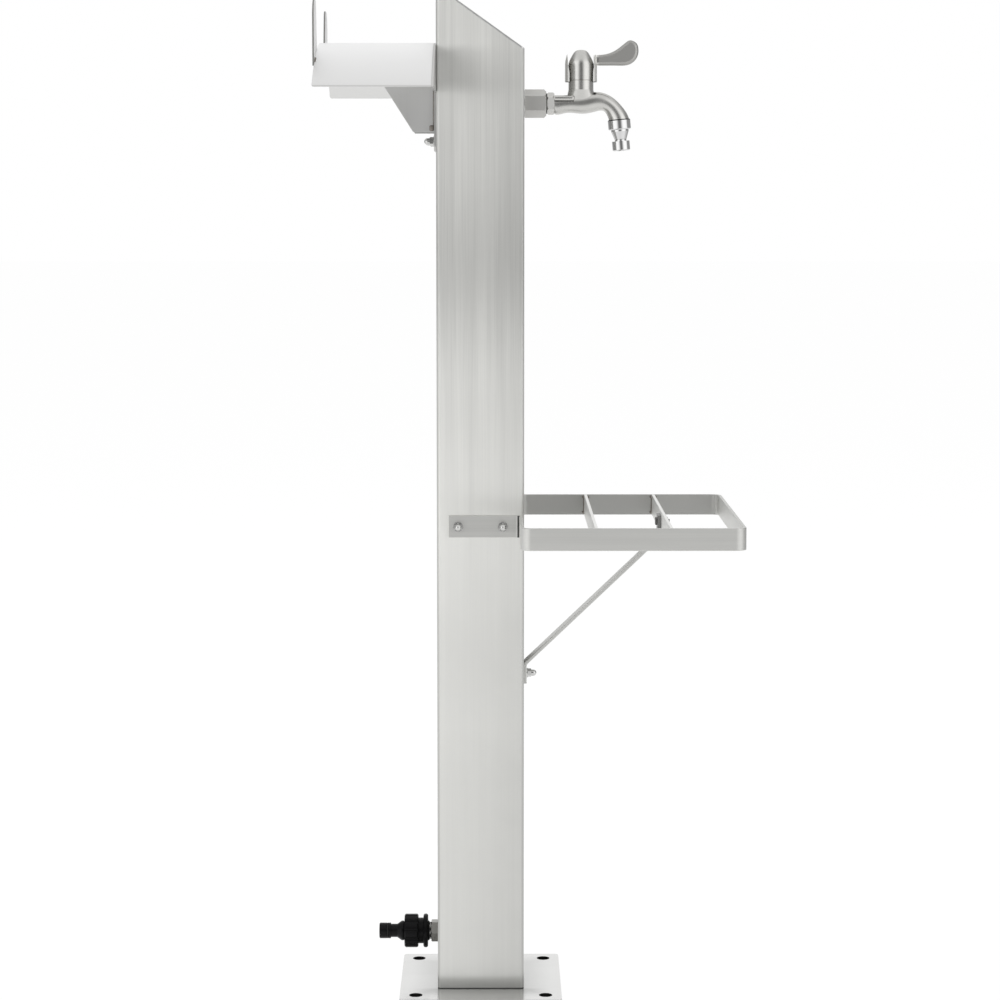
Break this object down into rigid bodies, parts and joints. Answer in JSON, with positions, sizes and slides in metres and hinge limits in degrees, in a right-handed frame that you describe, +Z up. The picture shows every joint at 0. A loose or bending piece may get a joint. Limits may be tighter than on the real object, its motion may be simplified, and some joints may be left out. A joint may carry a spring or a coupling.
{
  "type": "garden standpipe",
  "caption": "Square steel column on a bolted base plate, with a lever tap over a flat-bar shelf, an arched hose saddle behind and a low side hose inlet.",
  "frame": {"origin": "centre of the base plate's underside, on the floor", "axes": "+Z up along the column; +X towards the tap and the shelf; -X towards the hose saddle and the hose inlet"},
  "size_m": [0.383, 0.275, 0.9282],
  "materials": {
    "base_steel": "satin stainless steel plate",
    "column_steel": "stainless steel, brushed along its length",
    "cap_steel": "stainless steel, brushed",
    "stud_steel": "plain stainless steel",
    "washer_steel": "bright stainless steel",
    "nut_steel": "polished stainless steel",
    "shelf_steel": "stainless flat bar, brushed",
    "bar_steel": "stainless flat bar, brushed",
    "strut_steel": "stainless flat bar, brushed",
    "saddle_steel": "fine satin stainless sheet",
    "saddle_plate_steel": "fine satin stainless sheet",
    "gusset_steel": "fine satin stainless sheet",
    "ear_steel": "fine satin stainless sheet",
    "socket_metal": "satin nickel",
    "tap_metal": "satin chrome",
    "lever_metal": "satin chrome",
    "nozzle_chrome": "polished chrome",
    "nipple_metal": "nickel plate",
    "inner_brass": "machined brass",
    "ferrule_steel": "crimped stainless sleeve",
    "disc_ceramic": "lapped alumina",
    "seal_rubber": "black rubber",
    "hose_rubber": "reinforced rubber hose",
    "adapter_plastic": "moulded black plastic",
    "coupling_plastic": "moulded black plastic",
    "tail_plastic": "moulded black plastic"
  },
  "bodies": {
    "standpipe": {"base_plate": "base_steel", "column_tube": "column_steel", "column_cap": "cap_steel", "weld_studs": "stud_steel", "stud_washers": "washer_steel", "cap_nuts": "nut_steel", "shelf_frame": "shelf_steel", "shelf_bar_inner": "bar_steel", "shelf_bar_outer": "bar_steel", "shelf_strut": "strut_steel", "strut_screw": "nut_steel", "strut_screw_washer": "washer_steel", "strut_screw_nut": "nut_steel", "saddle_sheet": "saddle_steel", "saddle_back_plate": "saddle_plate_steel", "saddle_gusset_front": "gusset_steel", "saddle_gusset_back": "gusset_steel", "stop_ear_front": "ear_steel", "stop_ear_back": "ear_steel", "socket_washer": "washer_steel", "tap_socket": "socket_metal", "socket_lock_washer": "washer_steel", "socket_lock_nut": "inner_brass", "tap_seal": "seal_rubber", "tap_body": "tap_metal", "tap_cartridge": "inner_brass", "cartridge_o_ring": "seal_rubber", "disc_fixed": "disc_ceramic", "spout_nozzle": "nozzle_chrome", "nozzle_washer": "seal_rubber", "inlet_nipple": "nipple_metal", "inlet_lock_washer": "washer_steel", "inlet_lock_nut": "inner_brass", "coupling_adapter": "adapter_plastic", "coupling_washer": "seal_rubber", "hose_tail": "tail_plastic", "tail_o_ring": "seal_rubber", "inlet_elbow": "inner_brass", "outlet_elbow": "inner_brass", "hose_nut_lower": "inner_brass", "hose_nut_upper": "inner_brass", "hose_ferrule_lower": "ferrule_steel", "hose_ferrule_upper": "ferrule_steel", "supply_hose": "hose_rubber"},
    "tap_lever": {"lever_handle": "lever_metal", "lever_set_screw": "stud_steel", "tap_spindle": "inner_brass", "spindle_o_ring": "seal_rubber", "disc_moving": "disc_ceramic"},
    "coupling_ring": {"coupling_nut": "coupling_plastic"}
  },
  "joints": [
    {"name": "tap_lever_turn", "type": "hinge", "parent": "standpipe", "child": "tap_lever", "pos_m": [0.0923, 0, 0.85], "axis": [0, 0, 1], "range_deg": [0, 90]},
    {"name": "coupling_nut_turn", "type": "hinge", "parent": "standpipe", "child": "coupling_ring", "pos_m": [-0.0655, 0, 0.0473], "axis": [-1, 0, 0], "continuous": true}
  ]
}
